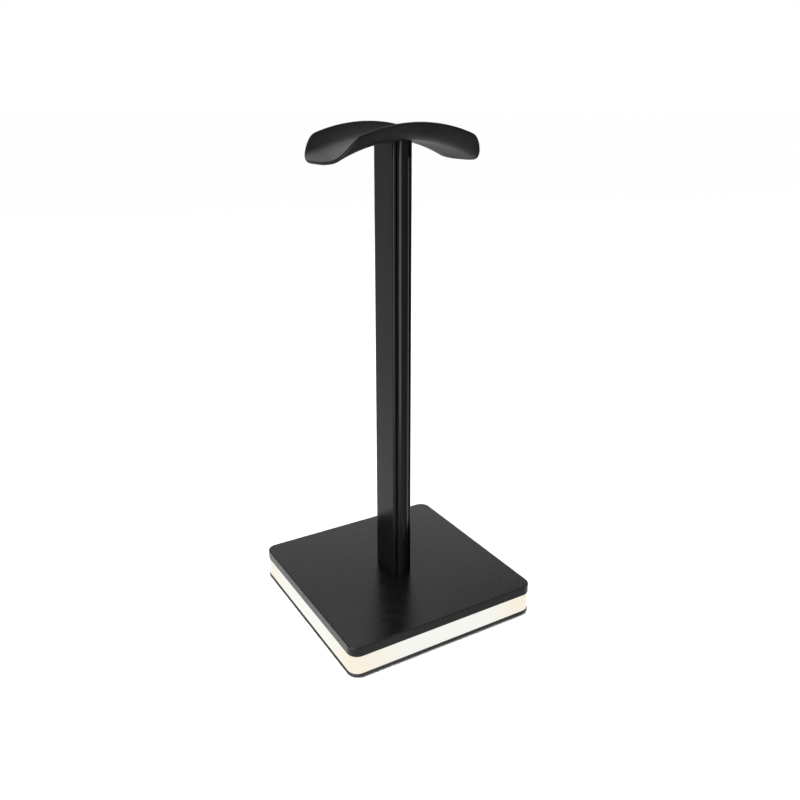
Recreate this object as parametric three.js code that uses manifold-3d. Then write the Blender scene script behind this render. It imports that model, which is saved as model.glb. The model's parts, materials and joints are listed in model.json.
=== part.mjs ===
// Headphone stand: a square base with a lit edge, a grooved flat post and a curled saddle.
// Units are millimetres and +Z is up. The origin is the middle of the footprint, on the
// surface that the stand rests on. +X runs along the saddle's long axis, -Y is the front,
// and the panel with the power socket and the light's button is in the middle of the +Y side.
import * as THREE from 'three';
import { mergeVertices } from 'three/addons/utils/BufferGeometryUtils.js';
import Module from 'manifold-3d';

const wasm = await Module();
wasm.setup();

// ---------------------------------------------------------------- driving dimensions
const totalHeight = 248;
const baseSide = 105;
const baseCornerRadius = 5.5;
const edgeSoftening = 0.5;

// The base is a stack: feet, bottom cover, light guide, steel top plate.
const footStandOff = 1;
const coverThickness = 1.8;
const lightHeight = 9.3;
const plateThickness = 5;
const coverTop = footStandOff + coverThickness;
const plateBottom = coverTop + lightHeight;
const plateTop = plateBottom + plateThickness;

// The light guide is a frame set back a little from the plate's edge, open at the rear panel.
const lightInset = 0.4;
const lightWall = 3;
const panelHalfWidth = 17;
const panelThickness = 2;
const panelOuterY = baseSide / 2 - lightInset;
const panelInnerY = panelOuterY - panelThickness;

// Post: two flat sides that end in rounded lips, and a rounded nose between each pair of lips.
const post = {
  halfWidth: 5.2,
  lipRadius: 1.5,
  lipReach: 9.5,
  noseRadius: 3.2,
  noseCentre: 8.7,
  grooveFloor: 6.9,
  screwOffset: 7.6,
  channelRadius: 1.65,
  chamber: { width: 6.4, depth: 9, radius: 1 },
};

// Saddle: a sheet arched along X whose long edges turn up. The corners of its outline are
// quarters of an ellipse, longer across the sheet than along it.
const saddle = {
  halfLength: 39.8,
  halfWidth: 23.4,
  cornerLength: 11.4,
  cornerWidth: 19.2,
  flatHalfWidth: 11,
  rimRise: 6.8,
  rimPower: 2.9,
  archRadius: 81.5,
  thickness: 1.6,
};
const saddleFloor = totalHeight - saddle.rimRise;

// Electronics: one board behind the rear panel, with the socket and the switch on its top.
const panelMiddleZ = coverTop + lightHeight / 2;
const socket = { x: -8, width: 8.94, height: 3.2, wall: 0.3, length: 7.3, mouthY: 51.7 };
const board = { width: 38, depth: 24, thickness: 1.6, innerY: 22 };
const boardTop = panelMiddleZ - socket.height / 2;
const boardBottom = boardTop - board.thickness;
const boardScrewAt = { x: 16, y: board.innerY + 4 };
const button = { x: 9, radius: 2.5, proud: 0.4, travel: 0.4, flange: 0.8, stem: 1.65 };
const tact = { width: 6, depth: 3.6, height: socket.height, frontY: 46.2 };
const plunger = { radius: 0.8, length: 2.65 };

// Feet and the cover screws above them stand at the corners of one square.
const footAt = 39;
const foot = { radius: 6, thickness: 1.8, recess: 0.8 };

const runningGap = 0.15;
const touchGap = 0.05;
const quarterTurn = Math.PI / 2;
const corners = [[1, 1], [1, -1], [-1, -1], [-1, 1]];

// ---------------------------------------------------------------- finishes
const finishes = {
  powderCoat: { color: 0x2d2c2a, roughness: 0.55, metalness: 0.2 },
  anodised: { color: 0x3a3a3a, roughness: 0.35, metalness: 0.9 },
  saddleCoat: { color: 0x2f2f2e, roughness: 0.3, metalness: 0.6 },
  frostedAcrylic: { color: 0xfdf4e8, roughness: 0.5, metalness: 0, emissive: 0xfff0dc },
  blackPlastic: { color: 0x141414, roughness: 0.6, metalness: 0 },
  rubber: { color: 0x1a1a1a, roughness: 0.9, metalness: 0 },
  screwSteel: { color: 0x8d8f92, roughness: 0.35, metalness: 1 },
  darkScrew: { color: 0x1c1c1d, roughness: 0.4, metalness: 0.9 },
  circuitBoard: { color: 0x123d26, roughness: 0.5, metalness: 0 },
  ledStrip: { color: 0xf2efe6, roughness: 0.5, metalness: 0 },
  bareSteel: { color: 0xb9bbbd, roughness: 0.3, metalness: 1 },
  wireJacket: { color: 0xb3261e, roughness: 0.5, metalness: 0 },
};

const stand = new THREE.Group();

function place(parent, name, geometry, finish, position = [0, 0, 0], rotation = [0, 0, 0]) {
  const mesh = new THREE.Mesh(geometry, new THREE.MeshStandardMaterial(finishes[finish]));
  mesh.name = name;
  mesh.position.set(...position);
  mesh.rotation.set(...rotation);
  parent.add(mesh);
  return mesh;
}

// ---------------------------------------------------------------- solid helpers
// A closed geometry with its vertices shared and no collapsed triangles, as a manifold solid.
function toSolid(geometry) {
  const bare = geometry.clone();
  bare.deleteAttribute('normal');
  bare.deleteAttribute('uv');
  const merged = mergeVertices(bare);
  const index = merged.index.array;
  const kept = [];
  for (let i = 0; i < index.length; i += 3) {
    const [a, b, c] = index.slice(i, i + 3);
    if (a !== b && b !== c && c !== a) kept.push(a, b, c);
  }
  return new wasm.Manifold(new wasm.Mesh({
    numProp: 3,
    vertProperties: Float32Array.from(merged.attributes.position.array),
    triVerts: Uint32Array.from(kept),
  }));
}

function toGeometry(solid) {
  const mesh = solid.getMesh();
  const geometry = new THREE.BufferGeometry();
  geometry.setAttribute('position', new THREE.BufferAttribute(mesh.vertProperties, 3));
  geometry.setIndex(new THREE.BufferAttribute(mesh.triVerts, 1));
  geometry.computeVertexNormals();
  return geometry;
}

function combine(first, { join = [], cut = [] }) {
  let solid = toSolid(first);
  for (const geometry of join) solid = solid.add(toSolid(geometry));
  for (const geometry of cut) solid = solid.subtract(toSolid(geometry));
  return toGeometry(solid);
}

// ---------------------------------------------------------------- shape helpers
function roundedRect(width, depth, radius, path = new THREE.Shape()) {
  const x = width / 2 - radius;
  const y = depth / 2 - radius;
  path.absarc(x, y, radius, 0, quarterTurn);
  path.absarc(-x, y, radius, quarterTurn, 2 * quarterTurn);
  path.absarc(-x, -y, radius, 2 * quarterTurn, 3 * quarterTurn);
  path.absarc(x, -y, radius, 3 * quarterTurn, 4 * quarterTurn);
  return path;
}

function circle(x, y, radius) {
  return new THREE.Path().absarc(x, y, radius, 0, 4 * quarterTurn);
}

// A square frame seen from above, broken by an opening in the middle of its +Y side.
function openFrame(half, wall, radius, opening) {
  const inner = half - wall;
  const innerRadius = radius - wall;
  const shape = new THREE.Shape();
  shape.moveTo(opening, half);
  shape.lineTo(half - radius, half);
  corners.forEach(([sx, sy], i) => {
    const middle = half - radius;
    shape.absarc(sx * middle, sy * middle, radius, quarterTurn * (1 - i), -quarterTurn * i, true);
  });
  shape.lineTo(-opening, half);
  shape.lineTo(-opening, inner);
  [...corners].reverse().forEach(([sx, sy], i) => {
    const middle = inner - innerRadius;
    shape.absarc(sx * middle, sy * middle, innerRadius, quarterTurn * (1 + i), quarterTurn * (2 + i));
  });
  shape.lineTo(opening, inner);
  return shape;
}

function extrude(shape, height, curveSegments = 8) {
  return new THREE.ExtrudeGeometry(shape, { depth: height, bevelEnabled: false, curveSegments });
}

// A slab with rounded corners and softened upper and lower edges, standing on z = 0.
function softSlab(width, depth, height, radius, edge, holes = []) {
  const shape = roundedRect(width, depth, radius);
  shape.holes.push(...holes);
  const geometry = new THREE.ExtrudeGeometry(shape, {
    depth: height - 2 * edge,
    bevelThickness: edge,
    bevelSize: edge,
    bevelOffset: -edge,
    bevelSegments: 2,
    curveSegments: 6,
  });
  return geometry.translate(0, 0, edge);
}

function box(width, depth, height, x, y, z) {
  return new THREE.BoxGeometry(width, depth, height).translate(x, y, z);
}

// A turned part about Z. Each profile point is [radius, height], starting and ending on the axis.
function turned(profile, segments = 20) {
  const points = profile.map(([radius, height]) => new THREE.Vector2(radius, height));
  return new THREE.LatheGeometry(points, segments).rotateX(quarterTurn);
}

function rod(radius, bottom, top, segments = 20) {
  return turned([[0, bottom], [radius, bottom], [radius, top], [0, top]], segments);
}

// ---------------------------------------------------------------- base, from the ground up
function rubberFoot() {
  const edge = 0.4;
  const profile = [
    [0, 0],
    [foot.radius - edge, 0],
    [foot.radius, edge],
    [foot.radius, foot.thickness],
    [0, foot.thickness],
  ];
  return turned(profile);
}

// A cover screw's head hangs in a counterbore above its foot, and its shank bites into the plate.
const coverScrew = { headRadius: 2.8, headHeight: 1.9, shankRadius: 1.2, length: 11 };
const coverScrewSeat = 3.9;
const coverScrewHole = { through: 1.6, threaded: 1.25, threadedDepth: 3.4 };
const boardPost = { radius: 2.5, holeRadius: 0.8, holeBottom: 0.8 };

function bottomCover() {
  const side = baseSide - 2 * touchGap;
  const wallHalf = 45.9;
  const wallThickness = 1.2;
  const wallHeight = lightHeight - 0.4;
  const wallOpening = 21;
  const bossRadius = 4.5;
  const slab = softSlab(side, side, coverThickness, baseCornerRadius, 0.4);
  const floor = coverThickness - touchGap;
  const wall = extrude(openFrame(wallHalf, wallThickness, 3, wallOpening), wallHeight + touchGap, 4);
  const join = [wall.translate(0, 0, floor)];
  const cut = [];
  const top = coverThickness + lightHeight;
  for (const [sx, sy] of corners) {
    const [x, y] = [sx * footAt, sy * footAt];
    const counterboreTop = coverScrewSeat - footStandOff;
    join.push(rod(bossRadius, floor, top).translate(x, y, 0));
    cut.push(rod(foot.radius + runningGap, -1, foot.recess).translate(x, y, 0));
    cut.push(rod(coverScrew.headRadius + runningGap, 0, counterboreTop).translate(x, y, 0));
    cut.push(rod(coverScrewHole.through, 0, top + 1).translate(x, y, 0));
  }
  const postTop = boardBottom - footStandOff;
  for (const end of [-1, 1]) {
    const [x, y] = [end * boardScrewAt.x, boardScrewAt.y];
    join.push(rod(boardPost.radius, floor, postTop, 16).translate(x, y, 0));
    cut.push(rod(boardPost.holeRadius, boardPost.holeBottom, postTop + 1, 12).translate(x, y, 0));
  }
  return combine(slab, { join, cut });
}

function lightGuide() {
  const half = baseSide / 2 - lightInset;
  const opening = panelHalfWidth + runningGap;
  return extrude(openFrame(half, lightWall, baseCornerRadius - lightInset, opening), lightHeight);
}

const postScrewHoleRadius = 2.2;

function topPlate() {
  const slab = softSlab(baseSide, baseSide, plateThickness, baseCornerRadius, edgeSoftening);
  const cut = [];
  for (const side of [-1, 1]) {
    const hole = rod(postScrewHoleRadius, -1, plateThickness + 1);
    cut.push(hole.translate(0, side * post.screwOffset, 0));
  }
  for (const [sx, sy] of corners) {
    const hole = rod(coverScrewHole.threaded, -1, coverScrewHole.threadedDepth, 16);
    cut.push(hole.translate(sx * footAt, sy * footAt, 0));
  }
  return combine(slab, { cut });
}

// A flexible strip bent round the cover's inner wall, with a light every pitch along each side.
function ledStrip() {
  const half = 46.3;
  const thickness = 0.3;
  const height = 5;
  const rearOpening = 22;
  const lamp = { width: 3.5, rise: 1.3, height: 3.4 };
  const pitch = 16;
  const join = [];
  const lampMiddle = half + (lamp.rise - touchGap) / 2;
  for (let side = 0; side < 4; side += 1) {
    const isRear = side === 2;
    for (let n = -2; n <= 2; n += 1) {
      if (isRear && Math.abs(n) < 2) continue;
      const lampBox = box(lamp.width, lamp.rise + touchGap, lamp.height, 0, -lampMiddle, height / 2);
      join.push(lampBox.translate(n * pitch, 0, 0).rotateZ(side * quarterTurn));
    }
  }
  return combine(extrude(openFrame(half, thickness, 3.4, rearOpening), height, 4), { join });
}

// ---------------------------------------------------------------- rear panel and electronics
function rearPanel() {
  const ledge = { reach: 2.4, height: 0.8, margin: 2 };
  const socketGap = 0.25;
  const middle = lightHeight / 2;
  const panel = box(2 * panelHalfWidth, panelThickness, lightHeight, 0, 0, middle);
  const ledgeWidth = 2 * (panelHalfWidth - ledge.margin);
  const ledgeY = -(panelThickness + ledge.reach) / 2;
  const shelf = box(ledgeWidth, ledge.reach + 2 * touchGap, ledge.height, 0, ledgeY, ledge.height / 2);
  const slotWidth = socket.width + 2 * socketGap;
  const slotHeight = socket.height + 2 * socketGap;
  const slot = extrude(roundedRect(slotWidth, slotHeight, 1.6), 2 * panelThickness, 5);
  slot.rotateX(quarterTurn).translate(socket.x, panelThickness, middle);
  const holeRadius = button.radius + runningGap;
  const hole = new THREE.CylinderGeometry(holeRadius, holeRadius, 3 * panelThickness, 24);
  hole.translate(button.x, 0, middle);
  return combine(panel, { join: [shelf], cut: [slot, hole] });
}

function circuitBoard() {
  const holes = [-1, 1].map((side) => (
    circle(side * boardScrewAt.x, boardScrewAt.y - board.innerY - board.depth / 2, 1.2)
  ));
  const shape = roundedRect(board.width, board.depth, 1);
  shape.holes.push(...holes);
  return extrude(shape, board.thickness, 5);
}

// A flat square package with a shallow dimple over its first contact.
function controlChip() {
  const side = 7;
  const height = 1;
  const dimple = rod(0.5, height - 0.15, height + 1, 12).translate(-side / 3, side / 3, 0);
  return combine(box(side, side, height, 0, 0, height / 2), { cut: [dimple] });
}

// A stamped shell along +Z with its mouth at the far end, a back wall and a thin tongue inside.
function powerSocket() {
  const backWall = 1.1;
  const { width, height, wall, length } = socket;
  const shell = extrude(roundedRect(width, height, 1.2), length, 5);
  const hollow = extrude(roundedRect(width - 2 * wall, height - 2 * wall, 0.9), length, 5);
  const solid = combine(shell, { cut: [hollow.translate(0, 0, backWall)] });
  const tongue = box(6.7, 0.7, length - 1.6, 0, 0, length / 2);
  return combine(solid, { join: [tongue] });
}

// The button and its plunger lie along Y, the axis that a LatheGeometry turns about.
function lightButton() {
  const front = panelThickness + button.proud;
  const flangeBack = -button.flange;
  const stemEnd = flangeBack - button.stem;
  const edge = 0.3;
  const profile = [
    [0, stemEnd],
    [1, stemEnd],
    [1, flangeBack],
    [button.radius + 0.7, flangeBack],
    [button.radius + 0.7, -touchGap],
    [button.radius, -touchGap],
    [button.radius, front - edge],
    [button.radius - edge, front],
    [0, front],
  ];
  return new THREE.LatheGeometry(profile.map(([r, y]) => new THREE.Vector2(r, y)), 24);
}

const plungerTipY = panelInnerY - button.flange - button.stem - touchGap;

// The bore lets the plunger sink in by the button's travel without reaching its end.
function tactSwitch() {
  const body = box(tact.width, tact.depth, tact.height, 0, -tact.depth / 2, 0);
  const radius = plunger.radius + runningGap;
  const plungerInside = plunger.length - (plungerTipY - tact.frontY);
  const boreDepth = plungerInside + button.travel + runningGap;
  const bore = new THREE.CylinderGeometry(radius, radius, 2 * boreDepth, 16);
  return combine(body, { cut: [bore] });
}

// ---------------------------------------------------------------- post
function postExtrusion(length) {
  const lipX = post.halfWidth - post.lipRadius;
  const lipY = post.lipReach - post.lipRadius;
  const shape = new THREE.Shape();
  for (const turn of [0, Math.PI]) {
    const s = turn ? -1 : 1;
    shape.absarc(s * lipX, s * lipY, post.lipRadius, turn, turn + quarterTurn);
    shape.lineTo(s * lipX, s * post.grooveFloor);
    shape.lineTo(s * post.noseRadius, s * post.grooveFloor);
    shape.absarc(0, s * post.noseCentre, post.noseRadius, turn, turn + 2 * quarterTurn);
    shape.lineTo(-s * post.noseRadius, s * post.grooveFloor);
    shape.lineTo(-s * lipX, s * post.grooveFloor);
    shape.absarc(-s * lipX, s * lipY, post.lipRadius, turn + quarterTurn, turn + 2 * quarterTurn);
  }
  const { width, depth, radius } = post.chamber;
  shape.holes.push(roundedRect(width, depth, radius, new THREE.Path()));
  shape.holes.push(circle(0, post.screwOffset, post.channelRadius));
  shape.holes.push(circle(0, -post.screwOffset, post.channelRadius));
  return extrude(shape, length, 8);
}

// ---------------------------------------------------------------- saddle
// The height of the upper surface above the saddle's floor, and its slopes along X and Y.
function saddleSurface(x, y) {
  const { archRadius, flatHalfWidth, halfWidth, rimRise, rimPower } = saddle;
  const root = Math.sqrt(archRadius ** 2 - x ** 2);
  const span = halfWidth - flatHalfWidth;
  const turnedUp = Math.max(0, Math.abs(y) - flatHalfWidth) / span;
  return {
    height: root - archRadius + rimRise * turnedUp ** rimPower,
    slopeX: -x / root,
    slopeY: Math.sign(y) * (rimRise * rimPower / span) * turnedUp ** (rimPower - 1),
  };
}

// A point of the outline's +X end, found by walking along it from the middle by a fraction.
function saddleEnd(fraction) {
  const { halfLength, halfWidth, cornerLength, cornerWidth } = saddle;
  const straight = halfWidth - cornerWidth;
  const walked = Math.abs(fraction) * (straight + cornerWidth * quarterTurn);
  const angle = Math.max(0, walked - straight) / cornerWidth;
  const reach = Math.min(walked, straight) + cornerWidth * Math.sin(angle);
  return {
    x: halfLength - cornerLength * (1 - Math.cos(angle)),
    y: Math.sign(fraction) * reach,
  };
}

// A thin box whose upper face follows the surface; its lower face is one thickness along the normal.
function saddleSheet(lengthSteps, widthSteps) {
  const sheet = new THREE.BoxGeometry(2, 2, 2, lengthSteps, widthSteps, 1);
  const position = sheet.attributes.position;
  for (let i = 0; i < position.count; i += 1) {
    const end = saddleEnd(position.getY(i));
    const x = position.getX(i) * end.x;
    const { height, slopeX, slopeY } = saddleSurface(x, end.y);
    const depth = position.getZ(i) > 0 ? 0 : saddle.thickness;
    const normal = new THREE.Vector3(-slopeX, -slopeY, 1).normalize();
    position.setXYZ(i, x - depth * normal.x, end.y - depth * normal.y, height - depth * normal.z);
  }
  return sheet;
}

const saddleScrew = { headRadius: 3, headHeight: 1.2, shankRadius: 1.55, length: 18 };

function saddleShell() {
  const { headRadius, headHeight } = saddleScrew;
  const mouth = headRadius + runningGap;
  const throat = mouth - headHeight;
  const sink = [[0, -5], [throat, -5], [throat, -headHeight], [mouth, 0], [mouth, 1], [0, 1]];
  const cut = [-1, 1].map((side) => turned(sink).translate(0, side * post.screwOffset, 0));
  return combine(saddleSheet(30, 20), { cut });
}

// ---------------------------------------------------------------- fasteners
// A cross recess, cut down from z = 0 by two crossed blades.
function crossRecess(span, width, depth) {
  return [box(span, width, 2 * depth, 0, 0, 0), box(width, span, 2 * depth, 0, 0, 0)];
}

// A countersunk screw hanging from z = 0, the top of its head.
function countersunkScrew({ headRadius, headHeight, shankRadius, length }) {
  const profile = [
    [0, -length],
    [shankRadius, -length],
    [shankRadius, shankRadius - headRadius],
    [headRadius, 0],
    [0, 0],
  ];
  return combine(turned(profile), { cut: crossRecess(1.1 * headRadius, 0.9, 0.6 * headHeight) });
}

// A pan-head screw whose head hangs below z = 0 and whose shank rises from it.
function panScrew({ headRadius, headHeight, shankRadius, length }) {
  const edge = 0.35 * headHeight;
  const profile = [
    [0, -headHeight],
    [headRadius - edge, -headHeight],
    [headRadius, edge - headHeight],
    [headRadius, 0],
    [shankRadius, 0],
    [shankRadius, length],
    [0, length],
  ];
  const recess = crossRecess(1.1 * headRadius, 0.25 * headRadius, 0.5 * headHeight);
  recess.forEach((blade) => blade.translate(0, 0, -headHeight));
  return combine(turned(profile, 20), { cut: recess });
}

function washer(outer, inner, thickness) {
  const shape = new THREE.Shape().absarc(0, 0, outer, 0, 4 * quarterTurn);
  shape.holes.push(circle(0, 0, inner));
  return extrude(shape, thickness, 8);
}

// ---------------------------------------------------------------- assembly: base
const base = new THREE.Group();
stand.add(base);

corners.forEach(([sx, sy]) => {
  const where = `${sy < 0 ? 'front' : 'rear'}_${sx < 0 ? 'left' : 'right'}`;
  const [x, y] = [sx * footAt, sy * footAt];
  const footTop = footStandOff + foot.recess;
  place(base, `foot_${where}`, rubberFoot(), 'rubber', [x, y, footTop - foot.thickness]);
  place(base, `cover_screw_${where}`, panScrew(coverScrew), 'screwSteel', [x, y, coverScrewSeat]);
});
place(base, 'bottom_cover', bottomCover(), 'blackPlastic', [0, 0, footStandOff]);
place(base, 'light_guide', lightGuide(), 'frostedAcrylic', [0, 0, coverTop]);
place(base, 'led_strip', ledStrip(), 'ledStrip', [0, 0, coverTop + 1.6]);
place(base, 'top_plate', topPlate(), 'powderCoat', [0, 0, plateBottom]);
place(base, 'rear_panel', rearPanel(), 'blackPlastic', [0, panelInnerY + panelThickness / 2, coverTop]);

// ---------------------------------------------------------------- assembly: electronics
const electronics = new THREE.Group();
stand.add(electronics);

const boardMiddleY = board.innerY + board.depth / 2;
const boardScrew = { headRadius: 1.9, headHeight: 1.2, shankRadius: 0.75, length: 2.6 + touchGap };
place(electronics, 'circuit_board', circuitBoard(), 'circuitBoard', [0, boardMiddleY, boardBottom]);
for (const [side, where] of [[-1, 'left'], [1, 'right']]) {
  const at = [side * boardScrewAt.x, boardScrewAt.y, boardTop];
  place(electronics, `board_screw_${where}`, panScrew(boardScrew), 'screwSteel', at, [Math.PI, 0, 0]);
}
place(electronics, 'control_chip', controlChip(), 'blackPlastic', [0, 31, boardTop]);
const socketBack = [socket.x, socket.mouthY - socket.length, panelMiddleZ];
place(electronics, 'power_socket', powerSocket(), 'bareSteel', socketBack, [-quarterTurn, 0, 0]);
place(electronics, 'tact_switch', tactSwitch(), 'blackPlastic', [button.x, tact.frontY, panelMiddleZ]);

const plungerGeometry = new THREE.CylinderGeometry(plunger.radius, plunger.radius, plunger.length, 16);
const plungerY = plungerTipY - plunger.length / 2;
place(electronics, 'switch_plunger', plungerGeometry, 'ledStrip', [button.x, plungerY, panelMiddleZ]);
place(electronics, 'light_button', lightButton(), 'blackPlastic', [button.x, panelInnerY, panelMiddleZ]);

// The strip's lead leaves its left end, drops to the board and lies on it.
const leadRadius = 0.6;
const leadRest = boardTop + leadRadius + 0.1;
const leadRoute = new THREE.CatmullRomCurve3([
  new THREE.Vector3(-21.6, 46.6, panelMiddleZ),
  new THREE.Vector3(-19.8, 46.1, panelMiddleZ - 0.1),
  new THREE.Vector3(-18, 44, leadRest + 0.3),
  new THREE.Vector3(-17, 41.5, leadRest),
  new THREE.Vector3(-16.8, 39, leadRest),
]);
const leadSection = new THREE.Shape().absarc(0, 0, leadRadius, 0, 4 * quarterTurn);
const leadGeometry = new THREE.ExtrudeGeometry(leadSection, {
  steps: 12,
  curveSegments: 4,
  extrudePath: leadRoute,
});
place(electronics, 'led_lead', leadGeometry, 'wireJacket');

// ---------------------------------------------------------------- assembly: post and saddle
const upright = new THREE.Group();
upright.position.z = plateTop;
stand.add(upright);

const saddleUnderside = saddleFloor + saddleSurface(post.halfWidth, 0).height - saddle.thickness;
const postLength = saddleUnderside - touchGap - plateTop;
place(upright, 'post_extrusion', postExtrusion(postLength), 'anodised');

const postScrew = { headRadius: 3.8, headHeight: 2.4, shankRadius: 1.55, length: 20 };
const postWasher = { outer: 4.5, inner: 2.1, thickness: 0.8 };
for (const [side, where] of [[-1, 'front'], [1, 'rear']]) {
  const y = side * post.screwOffset;
  const washerZ = -plateThickness - postWasher.thickness;
  const washerGeometry = washer(postWasher.outer, postWasher.inner, postWasher.thickness);
  place(upright, `post_washer_${where}`, washerGeometry, 'screwSteel', [0, y, washerZ]);
  place(upright, `post_screw_${where}`, panScrew(postScrew), 'screwSteel', [0, y, washerZ]);
}

const rest = new THREE.Group();
rest.position.z = saddleFloor;
stand.add(rest);
place(rest, 'saddle_shell', saddleShell(), 'saddleCoat');
for (const [side, where] of [[-1, 'front'], [1, 'rear']]) {
  const at = [0, side * post.screwOffset, -touchGap];
  place(rest, `saddle_screw_${where}`, countersunkScrew(saddleScrew), 'darkScrew', at);
}

export default stand;
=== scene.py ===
"""Looks of the headphone stand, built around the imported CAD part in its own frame, in metres.

The pieces that show are built again here with rounded edges. Every other CAD node keeps its
own shape, with softened edges, and gets a material. The saddle's long axis is X, the front
is -Y, and the panel with the power socket and the light's button is on the +Y side.
"""

import json
import math

import bmesh
import bpy
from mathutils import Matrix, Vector


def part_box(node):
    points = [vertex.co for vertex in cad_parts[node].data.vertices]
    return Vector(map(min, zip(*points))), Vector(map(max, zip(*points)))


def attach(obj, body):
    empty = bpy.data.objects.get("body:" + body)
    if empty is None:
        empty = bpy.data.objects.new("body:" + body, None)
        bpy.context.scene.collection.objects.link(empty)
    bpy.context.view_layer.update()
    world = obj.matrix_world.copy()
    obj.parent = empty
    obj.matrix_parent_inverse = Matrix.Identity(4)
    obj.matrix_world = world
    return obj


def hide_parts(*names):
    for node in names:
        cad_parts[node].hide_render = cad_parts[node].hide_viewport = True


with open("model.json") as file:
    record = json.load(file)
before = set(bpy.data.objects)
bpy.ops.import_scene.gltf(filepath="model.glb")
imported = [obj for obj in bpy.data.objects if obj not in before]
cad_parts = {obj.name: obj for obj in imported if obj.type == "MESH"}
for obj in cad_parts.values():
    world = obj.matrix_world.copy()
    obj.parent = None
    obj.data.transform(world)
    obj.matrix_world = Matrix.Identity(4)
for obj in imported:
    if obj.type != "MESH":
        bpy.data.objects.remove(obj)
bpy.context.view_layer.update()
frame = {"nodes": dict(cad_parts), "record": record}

MM = 0.001
TURN = 2 * math.pi
CORNERS = ((1, 1), (-1, 1), (-1, -1), (1, -1))

# ------------------------------------------------------------------ sizes
# Heights and reaches come from the CAD nodes. The radii below are the ones that a box can't show.
plate_low, plate_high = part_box("top_plate")
guide_low, guide_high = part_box("light_guide")
panel_low, panel_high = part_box("rear_panel")
post_low, post_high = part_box("post_extrusion")
saddle_low, saddle_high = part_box("saddle_shell")
button_low, button_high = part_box("light_button")

CORNER_RADIUS = 5.5 * MM
PLATE_EDGE = 0.5 * MM
BOLT_HOLE_RADIUS = 2.2 * MM
GUIDE_EDGE = 0.2 * MM
GUIDE_WALL = 3 * MM
GUIDE_GAP = 0.15 * MM

NOSE_RADIUS = 3.2 * MM
POST = {
    "half_width": post_high.x,
    "lip_radius": 1.5 * MM,
    "lip_reach": 9.5 * MM,
    "nose_radius": NOSE_RADIUS,
    "nose_centre": post_high.y - NOSE_RADIUS,
    "groove_floor": 6.9 * MM,
    "edge": 0.25 * MM,
    "end_edge": 0.15 * MM,
    "chamber": (3.2 * MM, 4.5 * MM, 1 * MM),
    "channel_radius": 1.65 * MM,
}
SCREW_OFFSET = 7.6 * MM

SADDLE = {
    "half_length": saddle_high.x,
    "half_width": 23.4 * MM,
    "corner_length": 11.4 * MM,
    "corner_width": 19.2 * MM,
    "flat_half_width": 11 * MM,
    "rim_rise": 6.8 * MM,
    "rim_power": 2.9,
    "arch_radius": 81.5 * MM,
    "thickness": 1.6 * MM,
    "edge": 0.5 * MM,
    "edge_inset": 0.28 * MM,
}
SADDLE_FLOOR = saddle_high.z - SADDLE["rim_rise"]
SINK_RADIUS = 3.15 * MM
SINK_DEPTH = 1.2 * MM
CAD_EDGE = 0.12 * MM


# ------------------------------------------------------------------ outlines, seen along the extrusion
def arc(centre, radius, start, sweep, steps):
    """Points along an arc, both ends included. Angles are in turns."""
    return [
        (
            centre[0] + radius * math.cos(TURN * (start + sweep * step / steps)),
            centre[1] + radius * math.sin(TURN * (start + sweep * step / steps)),
        )
        for step in range(steps + 1)
    ]


def rounded_rectangle(half_x, half_y, radius, steps=10):
    """Anticlockwise from the +X side of the +X +Y corner."""
    points = []
    for quarter, (side_x, side_y) in enumerate(CORNERS):
        centre = (side_x * (half_x - radius), side_y * (half_y - radius))
        points += arc(centre, radius, quarter / 4, 1 / 4, steps)
    return points


def circle(centre, radius, steps=40):
    return arc(centre, radius, 0, 1, steps)[:-1]


def square_frame(half, wall, radius, opening, steps=12):
    """A square ring that is open in the middle of its +Y side, from the opening's +X edge."""
    outside = rounded_rectangle(half, half, radius, steps)
    inner = half - wall
    inside = rounded_rectangle(inner, inner, max(radius - wall, GUIDE_EDGE), steps)
    first_quarter = steps + 1
    around = outside[first_quarter:] + outside[:first_quarter]
    back = inside[first_quarter:] + inside[:first_quarter]
    ends = [(opening, inner), (opening, half)]
    starts = [(-opening, half), (-opening, inner)]
    return starts[:1] + around + ends[::-1] + back[::-1] + starts[1:]


def post_outline(inset):
    """Two lips and a rounded nose on each of the two ends, and flat sides between them."""
    edge = POST["edge"]
    side = POST["lip_radius"] - edge
    lip_x = POST["half_width"] - side
    lip_y = POST["lip_reach"] - side
    brow_y = POST["lip_reach"] - edge
    wall = lip_x - edge + inset
    floor = POST["groove_floor"] - inset
    nose = POST["nose_radius"] - inset
    points = []
    for end in (1, -1):
        half_turn = 0 if end > 0 else 1 / 2
        lip = arc((end * lip_x, end * lip_y), side - inset, half_turn, 1 / 4, 10)
        brow = arc((end * lip_x, end * brow_y), edge - inset, half_turn + 1 / 4, 1 / 4, 4)
        right = lip + brow[1:]
        points += right
        points += [(end * wall, end * floor), (end * nose, end * floor)]
        points += arc((0, end * POST["nose_centre"]), nose, half_turn, 1 / 2, 24)
        points += [(-end * nose, end * floor), (-end * wall, end * floor)]
        points += [(-x, y) for x, y in right[::-1]]
    return points


# ------------------------------------------------------------------ meshes
def link_mesh(name, builder):
    """An object with its own mesh, taken from a bmesh that is then freed."""
    bmesh.ops.recalc_face_normals(builder, faces=builder.faces)
    mesh = bpy.data.meshes.new(name)
    builder.to_mesh(mesh)
    builder.free()
    made = bpy.data.objects.new(name, mesh)
    bpy.context.scene.collection.objects.link(made)
    return made


def shade(made, sharp_angle=35):
    """Smooth shading that keeps flat faces flat and edges above the angle sharp."""
    made.data.shade_smooth()
    made.data.set_sharp_from_angle(angle=math.radians(sharp_angle))
    weighted = made.modifiers.new("even_normals", "WEIGHTED_NORMAL")
    weighted.keep_sharp = True
    return made


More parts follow.
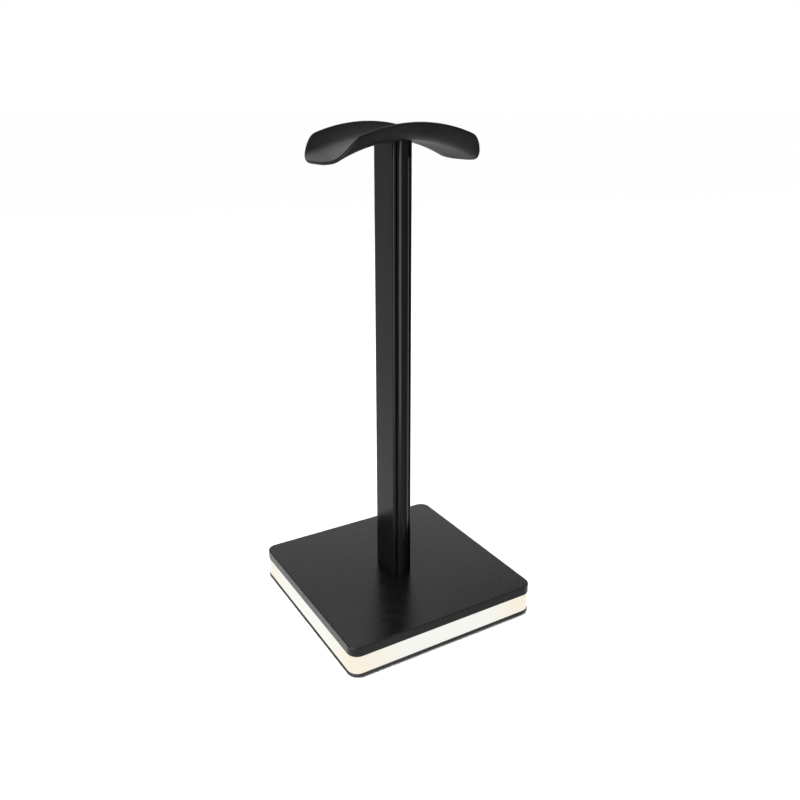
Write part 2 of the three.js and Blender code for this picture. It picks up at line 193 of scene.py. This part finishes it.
def soft_levels(low, high, edge, steps=4):
    """(height, inset) pairs of an extrusion whose two ends are rounded over."""
    quarter = [TURN / 4 * step / steps for step in range(steps + 1)]
    lower = [(low + edge * (1 - math.sin(a)), edge * (1 - math.cos(a))) for a in quarter[::-1]]
    upper = [(high - edge * (1 - math.sin(a)), edge * (1 - math.cos(a))) for a in quarter]
    return lower + upper


def extruded(name, outlines, levels):
    """A solid whose section at an inset is outlines(inset): its outside first, then its holes."""
    builder = bmesh.new()
    ends = []
    for part in range(len(outlines(0))):
        rings = [
            [builder.verts.new((x, y, height)) for x, y in outlines(inset)[part]]
            for height, inset in levels
        ]
        for ring, following in zip(rings, rings[1:]):
            for i in range(len(ring)):
                corners = (ring[i - 1], ring[i], following[i], following[i - 1])
                builder.faces.new(corners)
        ends.append((rings[0], rings[-1]))
    for end in (0, 1):
        edges = [
            builder.edges.get((ring[end][i - 1], ring[end][i]))
            for ring in ends
            for i in range(len(ring[end]))
        ]
        bmesh.ops.triangle_fill(builder, edges=edges, use_beauty=True)
    return link_mesh(name, builder)


def turned(name, profile, steps=48):
    """A part turned about Z. The profile's (radius, height) points start and end on the axis."""
    builder = bmesh.new()
    rings = [
        [builder.verts.new((x, y, height)) for x, y in circle((0, 0), radius, steps)]
        for radius, height in profile[1:-1]
    ]
    for ring, following in zip(rings, rings[1:]):
        for i in range(steps):
            builder.faces.new((ring[i - 1], ring[i], following[i], following[i - 1]))
    for ring, (_, height) in ((rings[0], profile[0]), (rings[-1], profile[-1])):
        tip = builder.verts.new((0, 0, height))
        for i in range(steps):
            builder.faces.new((ring[i - 1], ring[i], tip))
    return link_mesh(name, builder)


def carve(made, cutters):
    """Cuts the cutters out of a piece for good, and deletes them."""
    for cutter in cutters:
        cut = made.modifiers.new("cut", "BOOLEAN")
        cut.object = cutter
        cut.solver = "EXACT"
    depsgraph = bpy.context.evaluated_depsgraph_get()
    mesh = bpy.data.meshes.new_from_object(made.evaluated_get(depsgraph))
    made.modifiers.clear()
    made.data = mesh
    for cutter in cutters:
        bpy.data.objects.remove(cutter)
    return made


def stand_in(made, nodes, body, finish):
    """Shows a new piece in place of CAD nodes, on their body and with their finish."""
    made.data.materials.append(finish)
    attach(made, body)
    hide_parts(*nodes)
    return made


def soften(node):
    """Rounds the edges of a CAD node that keeps its own mesh."""
    weld = node.modifiers.new("weld", "WELD")
    weld.merge_threshold = 0.001 * MM
    bevel = node.modifiers.new("soft_edges", "BEVEL")
    bevel.width = CAD_EDGE
    bevel.segments = 2
    bevel.limit_method = "ANGLE"
    bevel.angle_limit = math.radians(40)
    bevel.use_clamp_overlap = True
    node.data.shade_smooth()
    weighted = node.modifiers.new("even_normals", "WEIGHTED_NORMAL")
    weighted.keep_sharp = True


# ------------------------------------------------------------------ material helpers
class Finish:
    """A material whose colour, roughness and relief vary over the surface."""

    def __init__(self, name, **sockets):
        self.material = bpy.data.materials.new(name)
        self.material.use_nodes = True
        self.nodes = self.material.node_tree.nodes
        self.links = self.material.node_tree.links
        self.shader = self.nodes["Principled BSDF"]
        self.place = self.nodes.new("ShaderNodeTexCoord").outputs["Object"]
        for socket, value in sockets.items():
            self.shader.inputs[socket.replace("_", " ")].default_value = value

    def stretched(self, stretch):
        scale = self.nodes.new("ShaderNodeVectorMath")
        scale.operation = "MULTIPLY"
        scale.inputs[1].default_value = stretch
        self.links.new(self.place, scale.inputs[0])
        return scale.outputs["Vector"]

    def noise(self, size, detail=3, stretch=(1, 1, 1)):
        """Cloudy noise from 0 to 1 whose blotches are about one size across."""
        texture = self.nodes.new("ShaderNodeTexNoise")
        texture.inputs["Scale"].default_value = 1 / size
        texture.inputs["Detail"].default_value = detail
        self.links.new(self.stretched(stretch), texture.inputs["Vector"])
        return texture.outputs["Fac"]

    def cells(self, size):
        """Rounded cells, such as grain or orange peel."""
        texture = self.nodes.new("ShaderNodeTexVoronoi")
        texture.feature = "SMOOTH_F1"
        texture.inputs["Scale"].default_value = 1 / size
        self.links.new(self.place, texture.inputs["Vector"])
        return texture.outputs["Distance"]

    def spread(self, value, low, high, start=0.3, end=0.7):
        """The value's start to end stretched over low to high."""
        ramp = self.nodes.new("ShaderNodeMapRange")
        ramp.inputs["From Min"].default_value = start
        ramp.inputs["From Max"].default_value = end
        ramp.inputs["To Min"].default_value = low
        ramp.inputs["To Max"].default_value = high
        self.links.new(value, ramp.inputs["Value"])
        return ramp.outputs["Result"]

    def blend(self, factor, first, second):
        mix = self.nodes.new("ShaderNodeMix")
        mix.data_type = "RGBA"
        mix.inputs["A"].default_value = (*first, 1)
        mix.inputs["B"].default_value = (*second, 1)
        self.links.new(factor, mix.inputs["Factor"])
        return mix.outputs["Result"]

    def calculate(self, operation, first, second=None):
        node = self.nodes.new("ShaderNodeMath")
        node.operation = operation
        for socket, value in zip(node.inputs, (first, second)):
            if isinstance(value, (int, float)):
                socket.default_value = value
            elif value is not None:
                self.links.new(value, socket)
        return node.outputs["Value"]

    def colour(self, factor, first, second):
        self.links.new(self.blend(factor, first, second), self.shader.inputs["Base Color"])
        return self

    def roughness(self, factor, low, high):
        self.links.new(self.spread(factor, low, high), self.shader.inputs["Roughness"])
        return self

    def relief(self, *heights):
        """Stacked bumps. Each height is (texture value, depth in metres)."""
        normal = None
        for value, depth in heights:
            bump = self.nodes.new("ShaderNodeBump")
            bump.inputs["Distance"].default_value = depth
            bump.inputs["Strength"].default_value = 1
            self.links.new(value, bump.inputs["Height"])
            if normal:
                self.links.new(normal, bump.inputs["Normal"])
            normal = bump.outputs["Normal"]
        self.links.new(normal, self.shader.inputs["Normal"])
        return self


# ------------------------------------------------------------------ finishes
def powder_coat():
    """Matte black powder coat on steel, with fine orange peel."""
    finish = Finish("powder_coat", Specular_IOR_Level=0.10)
    grain = finish.noise(0.9 * MM, 5)
    finish.colour(finish.spread(grain, 0, 1), (0.0012, 0.0012, 0.0011), (0.0030, 0.0029, 0.0027))
    finish.roughness(finish.noise(6 * MM, 4), 0.22, 0.30)
    finish.relief((finish.cells(0.7 * MM), 0.03 * MM), (grain, 0.02 * MM))
    return finish.material


def anodised_aluminium():
    """Satin black anodised bar, with drawing lines along its length."""
    finish = Finish("anodised_aluminium", Specular_IOR_Level=0.055)
    lines = finish.noise(0.12 * MM, 2, (1, 1, 0.004))
    wide_lines = finish.noise(1.1 * MM, 2, (1, 1, 0.01))
    finish.colour(finish.spread(lines, 0, 1), (0.0015, 0.0015, 0.0015), (0.003, 0.003, 0.003))
    finish.roughness(finish.noise(5 * MM, 3, (1, 1, 0.1)), 0.17, 0.22)
    finish.relief((lines, 0.0012 * MM), (wide_lines, 0.003 * MM))
    return finish.material


def saddle_coat():
    """Satin black lacquer over pressed sheet."""
    finish = Finish("saddle_coat", Specular_IOR_Level=0.045)
    cloud = finish.noise(9 * MM, 4)
    grain = finish.noise(0.5 * MM, 3)
    finish.colour(finish.spread(cloud, 0, 1), (0.002, 0.002, 0.002), (0.005, 0.005, 0.0049))
    finish.roughness(cloud, 0.46, 0.52)
    finish.relief((grain, 0.004 * MM), (cloud, 0.01 * MM))
    return finish.material


def frosted_acrylic():
    """Frosted light guide: neutral in the middle of each side and warm towards the corners."""
    finish = Finish("frosted_acrylic", Emission_Strength=1.0, Specular_IOR_Level=0.02)
    parts = finish.nodes.new("ShaderNodeSeparateXYZ")
    finish.links.new(finish.place, parts.inputs["Vector"])
    across = finish.calculate("ABSOLUTE", parts.outputs["X"])
    along = finish.calculate("ABSOLUTE", parts.outputs["Y"])
    nearest_middle = finish.calculate("MINIMUM", across, along)
    warmth = finish.spread(nearest_middle, 0, 1, 24 * MM, 46 * MM)
    glow = finish.blend(warmth, (0.90, 0.91, 0.86), (0.93, 0.85, 0.71))
    finish.links.new(glow, finish.shader.inputs["Emission Color"])
    frost = finish.noise(0.25 * MM, 3)
    finish.colour(finish.spread(frost, 0, 1), (0.003, 0.003, 0.003), (0.005, 0.005, 0.0048))
    finish.roughness(frost, 0.5, 0.65)
    finish.relief((frost, 0.008 * MM))
    return finish.material


def black_plastic(name="black_plastic", shine=0.5):
    """Moulded plastic with a spark-eroded texture."""
    finish = Finish(name, Specular_IOR_Level=0.2)
    texture = finish.noise(0.35 * MM, 4)
    finish.colour(finish.spread(texture, 0, 1), (0.003, 0.003, 0.003), (0.007, 0.007, 0.007))
    finish.roughness(texture, shine, shine + 0.15)
    finish.relief((texture, 0.02 * MM))
    return finish.material


def rubber():
    """Matte rubber, greyed a little by dust."""
    finish = Finish("rubber", Specular_IOR_Level=0.25)
    dust = finish.noise(1.5 * MM, 5)
    finish.colour(finish.spread(dust, 0, 1), (0.011, 0.011, 0.011), (0.026, 0.025, 0.024))
    finish.roughness(dust, 0.78, 0.95)
    finish.relief((finish.noise(0.3 * MM, 3), 0.02 * MM))
    return finish.material


def metal(name, tint, shine):
    """Bright or blackened metal with turning marks and small scratches."""
    finish = Finish(name, Metallic=1.0)
    marks = finish.noise(0.4 * MM, 4, (1, 1, 6))
    darker = tuple(0.8 * part for part in tint)
    finish.colour(finish.spread(marks, 0, 1), darker, tint)
    finish.roughness(marks, shine, shine + 0.15)
    finish.relief((marks, 0.002 * MM))
    return finish.material


def circuit_board():
    """Green solder mask with the copper tracks standing out a little under it."""
    finish = Finish("circuit_board", Coat_Weight=0.3, Coat_Roughness=0.15)
    tracks = finish.nodes.new("ShaderNodeTexBrick")
    tracks.inputs["Scale"].default_value = 1 / (3 * MM)
    tracks.inputs["Mortar Size"].default_value = 0.06
    finish.links.new(finish.place, tracks.inputs["Vector"])
    finish.colour(tracks.outputs["Fac"], (0.004, 0.035, 0.012), (0.012, 0.085, 0.03))
    finish.roughness(finish.noise(0.8 * MM, 3), 0.35, 0.5)
    finish.relief((tracks.outputs["Fac"], 0.03 * MM))
    return finish.material


def flexible_strip():
    """White solder mask, a little yellowed between its lamps."""
    finish = Finish("led_strip")
    patch = finish.noise(4 * MM, 4)
    finish.colour(finish.spread(patch, 0, 1), (0.62, 0.58, 0.48), (0.86, 0.84, 0.78))
    finish.roughness(patch, 0.4, 0.6)
    finish.relief((finish.noise(0.4 * MM, 3), 0.01 * MM))
    return finish.material


def pale_plastic():
    """Unpainted off-white plastic of the switch's plunger."""
    finish = Finish("plunger_plastic")
    texture = finish.noise(0.3 * MM, 3)
    finish.colour(finish.spread(texture, 0, 1), (0.55, 0.52, 0.45), (0.72, 0.69, 0.62))
    finish.roughness(texture, 0.35, 0.5)
    finish.relief((texture, 0.005 * MM))
    return finish.material


def wire_jacket():
    """Red jacket of the lamps' lead, a little scuffed."""
    finish = Finish("wire_jacket")
    scuff = finish.noise(0.8 * MM, 4)
    finish.colour(finish.spread(scuff, 0, 1), (0.30, 0.012, 0.010), (0.42, 0.025, 0.018))
    finish.roughness(scuff, 0.35, 0.5)
    finish.relief((scuff, 0.01 * MM))
    return finish.material


FINISHES = {
    "powder_coat": powder_coat(),
    "anodised_aluminium": anodised_aluminium(),
    "saddle_coat": saddle_coat(),
    "frosted_acrylic": frosted_acrylic(),
    "black_plastic": black_plastic(),
    "rubber": rubber(),
    "screw_steel": metal("screw_steel", (0.45, 0.46, 0.47), 0.25),
    "dark_screw": metal("dark_screw", (0.035, 0.035, 0.036), 0.3),
    "circuit_board": circuit_board(),
    "led_strip": flexible_strip(),
    "chip_package": black_plastic("chip_package", 0.35),
    "plunger_plastic": pale_plastic(),
    "bare_steel": metal("bare_steel", (0.55, 0.55, 0.56), 0.2),
    "wire_jacket": wire_jacket(),
}


# ------------------------------------------------------------------ base
def top_plate():
    half = plate_high.x
    bolt_holes = [(0, side * SCREW_OFFSET) for side in (-1, 1)]

    def outlines(inset):
        outside = rounded_rectangle(half - inset, half - inset, CORNER_RADIUS - inset, 14)
        return [outside] + [circle(place, BOLT_HOLE_RADIUS + inset) for place in bolt_holes]

    plate = extruded("plate", outlines, soft_levels(plate_low.z, plate_high.z, PLATE_EDGE))
    shade(plate)
    return stand_in(plate, ["top_plate"], "stand", FINISHES["powder_coat"])


def light_band():
    half = guide_high.x
    radius = CORNER_RADIUS - (plate_high.x - half)
    opening = panel_high.x + GUIDE_GAP

    def outlines(inset):
        wall = GUIDE_WALL - 2 * inset
        return [square_frame(half - inset, wall, radius - inset, opening + inset)]

    band = extruded("light_band", outlines, soft_levels(guide_low.z, guide_high.z, GUIDE_EDGE, 3))
    shade(band)
    return stand_in(band, ["light_guide"], "stand", FINISHES["frosted_acrylic"])


def rubber_foot(node):
    """A round pad with a rolled lower edge and two grip rings pressed into its sole."""
    low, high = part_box(node)
    radius = (high.x - low.x) / 2
    height = high.z - low.z
    edge = 0.4 * MM
    top_edge = 0.1 * MM
    ring_depth = 0.25 * MM
    profile = [(0, 0)]
    for ring in (0.35, 0.6):
        for shift, depth in ((-0.04, 0), (-0.02, ring_depth), (0.02, ring_depth), (0.04, 0)):
            profile.append((radius * (ring + shift), depth))
    profile += arc((radius - edge, edge), edge, -1 / 4, 1 / 4, 4)
    profile += [(radius, height - top_edge), (radius - top_edge, height), (0, height)]
    pad = turned("pad" + node.removeprefix("foot"), profile)
    pad.location = ((low.x + high.x) / 2, (low.y + high.y) / 2, low.z)
    shade(pad)
    return stand_in(pad, [node], "stand", FINISHES["rubber"])


# ------------------------------------------------------------------ post
def post():
    half_x, half_y, radius = POST["chamber"]
    channels = [(0, side * SCREW_OFFSET) for side in (-1, 1)]

    def outlines(inset):
        chamber = rounded_rectangle(half_x + inset, half_y + inset, radius + inset)
        holes = [circle(place, POST["channel_radius"] + inset) for place in channels]
        return [post_outline(inset), chamber] + holes

    bar = extruded("post", outlines, soft_levels(post_low.z, post_high.z, POST["end_edge"], 2))
    shade(bar, 50)
    finish = FINISHES["anodised_aluminium"]
    return stand_in(bar, ["post_extrusion"], "stand", finish)


# ------------------------------------------------------------------ saddle
def saddle_point(x, y):
    """A point of the upper surface and the surface's normal there."""
    root = math.sqrt(SADDLE["arch_radius"] ** 2 - x**2)
    span = SADDLE["half_width"] - SADDLE["flat_half_width"]
    turned_up = max(0, abs(y) - SADDLE["flat_half_width"]) / span
    rise = SADDLE["rim_rise"] * turned_up ** SADDLE["rim_power"]
    steepness = SADDLE["rim_rise"] * SADDLE["rim_power"] / span
    slope_x = -x / root
    slope_y = math.copysign(steepness * turned_up ** (SADDLE["rim_power"] - 1), y)
    point = Vector((x, y, SADDLE_FLOOR + root - SADDLE["arch_radius"] + rise))
    return point, Vector((-slope_x, -slope_y, 1)).normalized()


def saddle_end(fraction):
    """A point of the outline's +X end, at a fraction of the walk from its middle to the long edge."""
    inset = SADDLE["edge_inset"]
    across = SADDLE["corner_width"] - inset
    straight = SADDLE["half_width"] - SADDLE["corner_width"]
    walked = abs(fraction) * (straight + across * TURN / 4)
    angle = max(0, walked - straight) / across
    reach = min(walked, straight) + across * math.sin(angle)
    cut_back = (SADDLE["corner_length"] - inset) * (1 - math.cos(angle))
    return SADDLE["half_length"] - inset - cut_back, math.copysign(reach, fraction)


def saddle_grid(length_steps, width_steps):
    """Rows of (point, normal) across the sheet, closer together towards the two ends."""
    rows = []
    for j in range(width_steps + 1):
        end_x, y = saddle_end(2 * j / width_steps - 1)
        turns = [TURN / 4 * (2 * i / length_steps - 1) for i in range(length_steps + 1)]
        rows.append([saddle_point(end_x * math.sin(turn), y) for turn in turns])
    return rows


def saddle_sheet():
    """The curled sheet, rounded over all round its edge."""
    length_steps, width_steps, edge_steps = 84, 56, 4
    edge, thickness = SADDLE["edge"], SADDLE["thickness"]
    rows = saddle_grid(length_steps, width_steps)
    builder = bmesh.new()

    def layer(depth):
        return [[builder.verts.new(p - depth * n) for p, n in row] for row in rows]

    upper, lower = layer(0), layer(thickness)
    for sheet in (upper, lower):
        for near, far in zip(sheet, sheet[1:]):
            for i in range(length_steps):
                builder.faces.new((near[i], near[i + 1], far[i + 1], far[i]))

    rim = [(0, i) for i in range(length_steps)]
    rim += [(j, length_steps) for j in range(width_steps)]
    rim += [(width_steps, i) for i in range(length_steps, 0, -1)]
    rim += [(j, 0) for j in range(width_steps, 0, -1)]
    loops = [[upper[j][i] for j, i in rim]]
    for centre_depth, start in ((edge, 0), (thickness - edge, TURN / 4)):
        for step in range(edge_steps + 1):
            angle = start + TURN / 4 * step / edge_steps
            if angle in (0, TURN / 2):
                continue
            loop = []
            for k, (j, i) in enumerate(rim):
                point, normal = rows[j][i]
                before, after = rim[k - 1], rim[(k + 1) % len(rim)]
                along = rows[after[0]][after[1]][0] - rows[before[0]][before[1]][0]
                outward = along.cross(normal).normalized()
                centre = point - centre_depth * normal
                around = math.cos(angle) * normal + math.sin(angle) * outward
                loop.append(builder.verts.new(centre + edge * around))
            loops.append(loop)
    loops.append([lower[j][i] for j, i in rim])
    for loop, following in zip(loops, loops[1:]):
        for k in range(len(rim)):
            builder.faces.new((loop[k - 1], loop[k], following[k], following[k - 1]))
    return link_mesh("saddle", builder)


def screw_sink(side):
    """A cutter for one countersunk screw hole, up from under the sheet."""
    throat = SINK_RADIUS - SINK_DEPTH
    bottom, top = -5 * MM, 1 * MM
    profile = [
        (0, bottom),
        (throat, bottom),
        (throat, -SINK_DEPTH),
        (SINK_RADIUS, 0),
        (SINK_RADIUS, top),
        (0, top),
    ]
    cutter = turned("screw_sink", profile)
    cutter.location = (0, side * SCREW_OFFSET, SADDLE_FLOOR)
    return cutter


def saddle():
    sheet = carve(saddle_sheet(), [screw_sink(side) for side in (-1, 1)])
    shade(sheet)
    return stand_in(sheet, ["saddle_shell"], "stand", FINISHES["saddle_coat"])


# ------------------------------------------------------------------ rear controls
def button_cap():
    """The light's button: a dished cap with a rolled rim, on its flange and stem."""
    radius = 2.5 * MM
    flange_radius = (button_high.x - button_low.x) / 2
    length = button_high.y - button_low.y
    stem_radius, stem_length, stem_edge = 1 * MM, 1.65 * MM, 0.1 * MM
    flange_top = stem_length + 0.75 * MM
    roll = 0.35 * MM
    dish = 0.2 * MM
    profile = [(0, 0), (stem_radius - stem_edge, 0), (stem_radius, stem_edge)]
    profile += [(stem_radius, stem_length), (flange_radius, stem_length)]
    profile += [(flange_radius, flange_top), (radius, flange_top)]
    profile += arc((radius - roll, length - roll), roll, 0, 1 / 4, 4)
    profile += [(radius * (1 - k / 6), length - dish * (1 - (1 - k / 6) ** 2)) for k in range(2, 6)]
    profile.append((0, length - dish))
    cap = turned("button_cap", profile)
    cap.rotation_euler = (-TURN / 4, 0, 0)
    middle = (button_low + button_high) / 2
    cap.location = (middle.x, button_low.y, middle.z)
    shade(cap)
    return stand_in(cap, ["light_button"], "light_button", FINISHES["black_plastic"])


# ------------------------------------------------------------------ assembly
def finish_cad_nodes():
    """Gives every CAD node that still shows its finish and its softened edges."""
    slots = {part["node"]: part["material_slot"] for part in frame["record"]["subparts"]}
    for name, node in frame["nodes"].items():
        if node.hide_render:
            continue
        node.data.materials.clear()
        node.data.materials.append(FINISHES[slots[name]])
        soften(node)


top_plate()
light_band()
for foot in [name for name in frame["nodes"] if name.startswith("foot_")]:
    rubber_foot(foot)
post()
saddle()
button_cap()
finish_cad_nodes()


# ------------------------------------------------------------------ studio
FLOOR_REACH = 60
FLOOR_TONE = 0.87
HORIZON_LIGHT, CEILING_LIGHT = 1.0, 0.12
FADE_START, FADE_END = 0.36, 0.58


def pale_floor():
    """A wide sheet of pale paper that runs on to the horizon."""
    builder = bmesh.new()
    builder.faces.new([builder.verts.new((x, y, 0)) for x, y in circle((0, 0), FLOOR_REACH, 96)])
    floor = link_mesh("floor", builder)
    paper = Finish("paper", Specular_IOR_Level=0.05)
    fibre = paper.noise(4 * MM, 4)
    paper.colour(paper.spread(fibre, 0, 1), (FLOOR_TONE - 0.01,) * 3, (FLOOR_TONE,) * 3)
    paper.roughness(fibre, 0.85, 0.95)
    floor.data.materials.append(paper.material)


def pale_room():
    """White all round the horizon, fading towards the ceiling by the sine of the elevation."""
    world = bpy.data.worlds.new("studio")
    world.use_nodes = True
    nodes, links = world.node_tree.nodes, world.node_tree.links
    direction = nodes.new("ShaderNodeTexCoord").outputs["Generated"]
    parts = nodes.new("ShaderNodeSeparateXYZ")
    links.new(direction, parts.inputs["Vector"])
    fade = nodes.new("ShaderNodeMapRange")
    fade.inputs["From Min"].default_value = FADE_START
    fade.inputs["From Max"].default_value = FADE_END
    fade.inputs["To Min"].default_value = HORIZON_LIGHT
    fade.inputs["To Max"].default_value = CEILING_LIGHT
    links.new(parts.outputs["Z"], fade.inputs["Value"])
    nodes["Background"].inputs["Color"].default_value = (1, 1, 1, 1)
    links.new(fade.outputs["Result"], nodes["Background"].inputs["Strength"])
    bpy.context.scene.world = world


def aimed(name, light, place, target):
    lamp = bpy.data.objects.new(name, light)
    lamp.location = place
    lamp.rotation_euler = (Vector(target) - Vector(place)).to_track_quat("-Z", "Y").to_euler()
    bpy.context.scene.collection.objects.link(lamp)


def soft_box(name, place, target, width, height, power):
    light = bpy.data.lights.new(name, "AREA")
    light.shape = "RECTANGLE"
    light.size, light.size_y = width, height
    light.energy = power
    aimed(name, light, place, target)


def lights():
    """A large soft light overhead, and three boxes for the reflections on the dark surfaces."""
    overhead = bpy.data.lights.new("overhead", "SUN")
    overhead.energy = 2.8
    overhead.angle = math.radians(50)
    aimed("overhead", overhead, (0.34, -0.06, 0.94), (0, 0, 0))
    post_middle = (0, 0, 0.1)
    soft_box("post_box", (-0.22, -0.11, 0.13), post_middle, 0.14, 0.3, 2.4)
    soft_box("plate_box", (0.32, 1.3, 0.78), post_middle, 1.7, 0.6, 4.3)
    soft_box("saddle_box", (0.12, 0.5, 0.68), (0, 0, SADDLE_FLOOR), 0.5, 0.26, 1.9)


def camera():
    """The photograph's viewpoint: a 36 mm lens on a 36 mm sensor, aimed at the post."""
    azimuth, elevation, distance = math.radians(-30.735), math.radians(15.957), 0.3967
    aim = Vector((0.0029, -0.0018, 0.1431))
    back = Vector((
        math.sin(azimuth) * math.cos(elevation),
        -math.cos(azimuth) * math.cos(elevation),
        math.sin(elevation),
    ))
    lens = bpy.data.cameras.new("camera")
    lens.sensor_width = 36
    lens.lens = 36
    lens.shift_y = -0.075
    lens.clip_start, lens.clip_end = 0.01, 2 * FLOOR_REACH
    viewer = bpy.data.objects.new("camera", lens)
    viewer.location = aim + distance * back
    viewer.rotation_euler = (-back).to_track_quat("-Z", "Y").to_euler()
    bpy.context.scene.collection.objects.link(viewer)
    bpy.context.scene.camera = viewer


pale_floor()
pale_room()
lights()
camera()
bpy.context.scene.view_settings.view_transform = "Standard"
